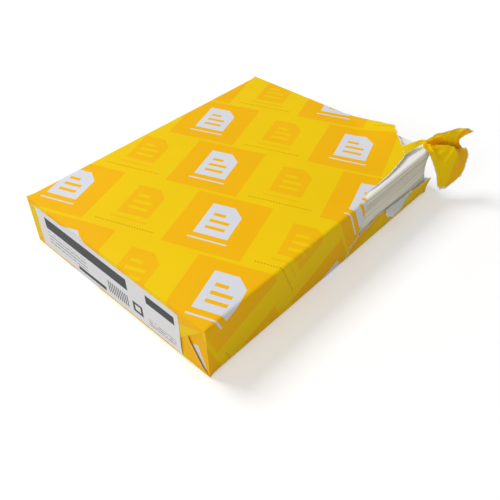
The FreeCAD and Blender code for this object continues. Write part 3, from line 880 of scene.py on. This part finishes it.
def cut_paper(settings):
    """Uncoated copy paper, guillotined: matt white faces, and sides drawn with painted shade: fine
    darker lines for the gaps where sheets stand out or back, over a side painted darker and warmer
    than the top. A sheet is too thin to show, so the lines stand for 9 or for 28."""
    material, tree = new_material("Uncoated Copy Paper")
    place = add_node(tree, "ShaderNodeTexCoord").outputs["Object"]
    lines = []
    for sheets, length in ((9, 160), (28, 420)):
        scale = [1 / (size * MM) for size in (length, length, sheets * SHEET_GAUGE)]
        drawn = add_node(tree, "ShaderNodeMapping", {"Vector": place, "Scale": scale})
        lines.append(add_node(tree, NOISE, {"Vector": drawn, "Scale": 1.0, "Detail": 3.0}))
    shade = add_node(tree, RANGE, [("ADD", *lines), 0.84, 1.0, 0.0, 1.0])
    # Painted shade: the darker colour is the shade in the gaps between sheets, and the paler side
    # tone is still painted darker and warmer than the top.
    dark = [c * f for c, f in zip(settings.colour, (0.68, 0.64, 0.52))]
    pale_side_shade = [c * f for c, f in zip(settings.colour, (1, 0.97, 0.85))]
    edge = add_node(tree, MIX, [shade, dark, pale_side_shade], data_type="RGBA")
    # The painted shade belongs to the sides alone; upward faces keep the plain sheet colour.
    normal = add_node(tree, "ShaderNodeNewGeometry").outputs["Normal"]
    facing = add_node(tree, "ShaderNodeSeparateXYZ", [normal]).outputs["Z"]
    flat = ("COMPARE", facing, 1.0, 0.5)
    colour = add_node(tree, MIX, [flat, edge, settings.colour], data_type="RGBA")
    paper_finish(tree, {"Base Color": colour, "Roughness": 0.85, "IOR": 1.46})
    return material


def label_stock(settings):
    """Coated label stock, printed in one dark ink: smooth, slightly satin, crisp plain fields."""
    material, tree = new_material("Coated Label Stock")
    at = flat_millimetres(tree)
    ink = ("SUBTRACT", 0.0, field(at, LABEL_HOLE))
    for place in LABEL_FIELDS:
        ink = ("ADD", ink, field(at, place))
    # The thin lines are broken into dashes.
    drawn = add_node(tree, "ShaderNodeCombineXYZ", [("MULTIPLY", at[0], 0.45), at[1]])
    breaks = add_node(tree, NOISE, {"Vector": drawn, "Scale": 0.9, "Detail": 2.0})
    for axis, pitch, share, place in LABEL_LINES:
        line = ("LESS_THAN", ("FRACT", ("DIVIDE", at[axis], pitch)), share)
        if axis == 1:
            line = ("MULTIPLY", line, ("GREATER_THAN", breaks, 0.44))
        ink = ("ADD", ink, ("MULTIPLY", line, field(at, place)))
    colour = add_node(tree, MIX, [ink, settings.paper, settings.ink], data_type="RGBA")
    surface = {"Base Color": colour, "Roughness": 0.5, "IOR": 1.48}
    paper_finish(tree, surface, mottle(tree, 6, 4.0), 0.1, 0.1)
    return material


def studio_floor(settings):
    """Matt seamless paper: pale, even, with no gloss."""
    material, tree = new_material("Matt Seamless Paper")
    shade = [c * 0.99 for c in settings.floor]
    colour = add_node(tree, MIX, [mottle(tree, 500, 2.0), shade, settings.floor], data_type="RGBA")
    shader = add_node(tree, "ShaderNodeBsdfPrincipled", {"Base Color": colour, "Roughness": 1.0})
    # The camera sees it lifted to white, more so far from the ream, whose shadow stays on it.
    place = add_node(tree, "ShaderNodeTexCoord").outputs["Object"]
    away = add_node(tree, VECTORS, [place], operation="LENGTH")
    glow = add_node(tree, RANGE, [away, 0.2, 1.2, 0.34, 0.75])
    glow = add_node(tree, "ShaderNodeEmission", [(1, 1, 1), glow])
    lifted = add_node(tree, "ShaderNodeAddShader", [shader, glow])
    seen = add_node(tree, "ShaderNodeLightPath").outputs["Is Camera Ray"]
    seen = add_node(tree, "ShaderNodeMixShader", [seen, shader, lifted])
    add_node(tree, "ShaderNodeOutputMaterial", [seen])
    return material


# The sheets

# The outermost sheets are bent under the wrapper's edge by EDGE_BEND, less and less within about
# BEND_DEPTH. A few lie further in at a depth and show as a darker line. The bare corner is
# pushed in round a height, for about CORNER_REACH from its tip.
EDGE_BEND, BEND_DEPTH = 2.3, 0.6
LINE_DEPTH, LINE_HALF, LINE_IN = 11.6, 0.22, 0.7
CORNER_REACH, CORNER_HEIGHT, CORNER_HALF = 13, 27, 18


def sheets_tree(material, sizes):
    """Geometry nodes that pile up the sheets of the ream, each a little astray."""
    tree = bpy.data.node_groups.new("pile_of_sheets", "GeometryNodeTree")
    tree.interface.new_socket("Geometry", in_out="INPUT", socket_type="NodeSocketGeometry")
    for name, value in sizes.items():
        kind = "NodeSocketInt" if isinstance(value, int) else "NodeSocketFloat"
        socket = tree.interface.new_socket(name, in_out="INPUT", socket_type=kind)
        socket.default_value = value
    tree.interface.new_socket("Geometry", in_out="OUTPUT", socket_type="NodeSocketGeometry")
    given = add_node(tree, "NodeGroupInput").outputs
    width, length, height, stray = (given[n] for n in ("Width", "Length", "Height", "Stray"))
    position = add_node(tree, "GeometryNodeInputPosition")

    # One sheet, with its points drawn together towards the bare corner.
    gauge = add_node(tree, MATH, [height, given["Sheets"]], operation="DIVIDE")
    size = add_node(tree, "ShaderNodeCombineXYZ", [width, length, gauge])
    sheet = {"Size": size, "Vertices X": 6, "Vertices Y": 6}
    sheet = add_node(tree, "GeometryNodeMeshCube", sheet)
    x, y, z = add_node(tree, "ShaderNodeSeparateXYZ", [position]).outputs
    drawn = []
    for value, extent in ((x, width), (y, length)):
        rest = ("MAXIMUM", ("SUBTRACT", 0.5, ("DIVIDE", value, extent)), 0.0)
        drawn.append(("MULTIPLY", ("SUBTRACT", 0.5, ("POWER", rest, 2.2)), extent))
    drawn = add_node(tree, "ShaderNodeCombineXYZ", [*drawn, z])
    sheet = add_node(tree, "GeometryNodeSetPosition", {"Geometry": sheet, "Position": drawn})

    # The pile. Each sheet drifts with its neighbours and strays a little by itself.
    index = add_node(tree, "GeometryNodeInputIndex")
    start = add_node(tree, "ShaderNodeCombineXYZ", [0, 0, ("MULTIPLY", gauge, 0.5)])
    step = add_node(tree, "ShaderNodeCombineXYZ", [0, 0, gauge])
    pile = {"Count": given["Sheets"], "Start Location": start, "Offset": step}
    pile = add_node(tree, "GeometryNodeMeshLine", pile)
    drift = {"W": ("MULTIPLY", index, 0.045), "Scale": 1.0, "Detail": 4.0, "Roughness": 0.7}
    drift = add_node(tree, NOISE, drift, noise_dimensions="1D").outputs["Color"]
    drift = add_node(tree, VECTORS, [drift, (0.5, 0.5, 0.5)], operation="SUBTRACT")
    drift = add_node(tree, VECTORS, [drift, ("MULTIPLY", stray, 2.0)], operation="SCALE")
    level = add_node(tree, VECTORS, [drift, (1, 1, 0)], operation="MULTIPLY")
    jitter = {"Min": (-0.4, -0.4, 0), "Max": (0.4, 0.4, 0), "ID": index, "Seed": given["Seed"]}
    jitter = add_node(tree, "FunctionNodeRandomValue", jitter, data_type="FLOAT_VECTOR")
    jitter = add_node(tree, VECTORS, [jitter, stray], operation="SCALE")
    astray = add_node(tree, VECTORS, [level, jitter], operation="ADD")
    pile = add_node(tree, "GeometryNodeSetPosition", {"Geometry": pile, "Offset": astray})

    # Sheets that are bent or lie further in look narrower.
    up = ("MULTIPLY", index, gauge)
    depth = add_node(tree, MATH, [up, ("SUBTRACT", height, up)], operation="MINIMUM")
    outer = ("MULTIPLY", ("EXPONENT", ("DIVIDE", depth, -BEND_DEPTH * MM)), given["Edge Bend"])
    few = ("DIVIDE", ("SUBTRACT", depth, LINE_DEPTH * MM), LINE_HALF * MM)
    few = ("EXPONENT", ("MULTIPLY", ("MULTIPLY", few, few), -1.0))
    bend = ("MULTIPLY_ADD", few, LINE_IN * MM, outer)
    narrow = ("MULTIPLY_ADD", ("DIVIDE", bend, width), -2.0, 1.0)
    scale = add_node(tree, "ShaderNodeCombineXYZ", [narrow, 1.0, 0.97])
    block = {"Points": pile, "Instance": sheet, "Scale": scale}
    block = add_node(tree, "GeometryNodeInstanceOnPoints", block)
    block = add_node(tree, "GeometryNodeRealizeInstances", [block])

    # The bare corner is pushed in.
    x, y, z = add_node(tree, "ShaderNodeSeparateXYZ", [position]).outputs
    away = ("SUBTRACT", ("MULTIPLY", ("ADD", width, length), 0.5), ("ADD", x, y))
    near = ("EXPONENT", ("DIVIDE", away, -CORNER_REACH * MM))
    middle = ("DIVIDE", ("SUBTRACT", z, CORNER_HEIGHT * MM), CORNER_HALF * MM)
    hollow = ("MAXIMUM", ("SUBTRACT", 1.0, ("MULTIPLY", middle, middle)), 0.0)
    push = ("MULTIPLY", ("MULTIPLY", near, hollow), given["Bow"])
    push = add_node(tree, VECTORS, [(-0.707, -0.707, 0), push], operation="SCALE")
    block = add_node(tree, "GeometryNodeSetPosition", {"Geometry": block, "Offset": push})
    block = add_node(tree, "GeometryNodeSetMaterial", {"Geometry": block, "Material": material})
    add_node(tree, "NodeGroupOutput", [block])
    return tree


def make_sheets(settings):
    """The block of loose sheets."""
    material = cut_paper(settings)
    size = STACK_HIGH - STACK_LOW
    sizes = {
        "Sheets": settings.sheets,
        "Width": size.x - 2 * settings.ease,
        "Length": size.y - 2 * settings.ease,
        "Height": size.z,
        "Stray": settings.stray,
        "Bow": settings.bow,
        "Edge Bend": EDGE_BEND * MM,
        "Seed": 7,
    }
    piece = new_piece("copy_sheets", [(0, 0, 0)], [], [material])
    pile = piece.modifiers.new("pile", "NODES")
    pile.node_group = sheets_tree(material, sizes)
    for item in pile.node_group.interface.items_tree:
        if item.name in sizes:
            pile[item.identifier] = sizes[item.name]
    piece = finished(piece)
    piece.data.transform(Matrix.Translation((0, 0, STACK_LOW.z)))
    return piece


def make_label(settings):
    """The label, a thin sheet whose right edge has come a little loose."""
    wide, high = (LABEL_HIGH.x - LABEL_LOW.x) / MM, (LABEL_HIGH.z - LABEL_LOW.z) / MM
    rows, columns = 22, 90
    v, u = grid_shares(rows, columns)
    loose = smoothstep(1 - 7 / wide, 1, u) * (0.5 + 0.5 * np.sin(v * 5 + 0.6))
    out = loose * settings.lift / MM + 0.05 * (1 + ripples(u * wide, v * high, 30, 6))
    x, y, z = LABEL_LOW.x / MM + u * wide, LABEL_HIGH.y / MM, LABEL_LOW.z / MM + v * high
    piece = new_piece(
        "printed_label",
        np.dstack([x, y - LABEL_GAUGE - out, z]).reshape(-1, 3),
        patch_faces(rows, columns, 0),
        [label_stock(settings)],
        np.dstack([u * wide, (1 - v) * high]).reshape(-1, 2),
    )
    return thickened(piece, LABEL_GAUGE, 40)


# The studio

# The camera's place and axes, from the wrapped block's corners in the photograph.
CAMERA_PLACE = (0.31964, -0.30832, 0.36647)
CAMERA_BACK = (0.5519, -0.5591, 0.6187)
CAMERA_RIGHT = (0.7274, 0.6856, -0.0294)
LAMP_TARGET = (0, 0, 0.02)
FLOOR_HALF = 4.0
WHITE = (1, 1, 1)


def add_lamp(name, place, size, power):
    """A soft square lamp that faces the ream."""
    light = bpy.data.lights.new(name, "AREA")
    light.size, light.energy = size, power
    lamp = add_object(name, light)
    lamp.location = place
    aim = Vector(LAMP_TARGET) - Vector(place)
    lamp.rotation_euler = aim.to_track_quat("-Z", "Y").to_euler()


def make_stage(settings):
    """Floor, lamps, room light and camera."""
    half = FLOOR_HALF / MM
    corners = [(-half, -half, 0), (half, -half, 0), (half, half, 0), (-half, half, 0)]
    floor = new_piece("floor", corners, [(0, 1, 2, 3)], [studio_floor(settings)])
    add_lamp("key_lamp", (-1.3, -0.3, 1.85), 0.9, settings.key)
    add_lamp("fill_lamp", (0.3, -1.15, 0.6), 0.8, settings.fill)
    add_lamp("side_lamp", (1.1, -0.6, 0.6), 0.8, settings.side)

    # The room is white to the camera, and dimmer as light.
    world = bpy.data.worlds.new("room")
    bpy.context.scene.world = world
    world.use_nodes = True
    tree = world.node_tree
    tree.nodes.clear()
    room = add_node(tree, "ShaderNodeBackground", [WHITE, settings.world])
    white = add_node(tree, "ShaderNodeBackground", [WHITE, 1.0])
    seen = add_node(tree, "ShaderNodeLightPath").outputs["Is Camera Ray"]
    seen = add_node(tree, "ShaderNodeMixShader", [seen, room, white])
    add_node(tree, "ShaderNodeOutputWorld", [seen])

    data = bpy.data.cameras.new("camera")
    data.lens, data.sensor_width = settings.lens, 36
    data.shift_y = -0.1
    data.clip_start, data.clip_end = 0.01, 20
    camera = add_object("camera", data)
    back, right = Vector(CAMERA_BACK).normalized(), Vector(CAMERA_RIGHT)
    right = (right - back * right.dot(back)).normalized()
    turn = Matrix((right, back.cross(right), back)).transposed().to_4x4()
    camera.matrix_world = Matrix.Translation(CAMERA_PLACE) @ turn
    bpy.context.scene.camera = camera
    bpy.context.scene.view_settings.view_transform = "Standard"


# Operators


class REAM_OT_sheets(bpy.types.Operator):
    """Makes the block of loose sheets"""

    bl_idname = "ream.sheets"
    bl_label = "Sheets"

    def execute(self, context):
        piece = make_sheets(context.scene.ream_stack)
        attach(piece, "root")
        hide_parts("paper_stack")
        return {"FINISHED"}


class REAM_OT_wrapper(bpy.types.Operator):
    """Makes the printed wrapper, folded and torn"""

    bl_idname = "ream.wrapper"
    bl_label = "Wrapper"

    def execute(self, context):
        piece = make_wrapper(context.scene.ream_wrapper)
        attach(piece, "root")
        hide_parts("wrapper")
        return {"FINISHED"}


class REAM_OT_label(bpy.types.Operator):
    """Makes the label on the near end"""

    bl_idname = "ream.label"
    bl_label = "Label"

    def execute(self, context):
        piece = make_label(context.scene.ream_label)
        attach(piece, "root")
        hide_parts("end_label")
        return {"FINISHED"}


class REAM_OT_stage(bpy.types.Operator):
    """Makes the floor, the lamps and the camera"""

    bl_idname = "ream.stage"
    bl_label = "Stage"

    def execute(self, context):
        make_stage(context.scene.ream_studio)
        return {"FINISHED"}


class REAM_PT_panel(bpy.types.Panel):
    """The ream's tools and settings"""

    bl_label = "Ream"
    bl_idname = "REAM_PT_panel"
    bl_space_type = "VIEW_3D"
    bl_region_type = "UI"
    bl_category = "Ream"

    def draw(self, context):
        for scene_name, (group, operator) in PARTS.items():
            box = self.layout.box()
            for name in group.__annotations__:
                box.prop(getattr(context.scene, scene_name), name)
            box.operator(operator.bl_idname)


PARTS = {
    "ream_stack": (StackSettings, REAM_OT_sheets),
    "ream_wrapper": (WrapperSettings, REAM_OT_wrapper),
    "ream_label": (LabelSettings, REAM_OT_label),
    "ream_studio": (StudioSettings, REAM_OT_stage),
}


def register():
    for scene_name, (group, operator) in PARTS.items():
        bpy.utils.register_class(group)
        bpy.utils.register_class(operator)
        setattr(bpy.types.Scene, scene_name, PointerProperty(type=group))
    bpy.utils.register_class(REAM_PT_panel)


def unregister():
    bpy.utils.unregister_class(REAM_PT_panel)
    for scene_name, (group, operator) in PARTS.items():
        delattr(bpy.types.Scene, scene_name)
        bpy.utils.unregister_class(operator)
        bpy.utils.unregister_class(group)


def main():
    register()
    bpy.ops.ream.sheets()
    bpy.ops.ream.wrapper()
    bpy.ops.ream.label()
    bpy.ops.ream.stage()


if __name__ == "__main__":
    main()
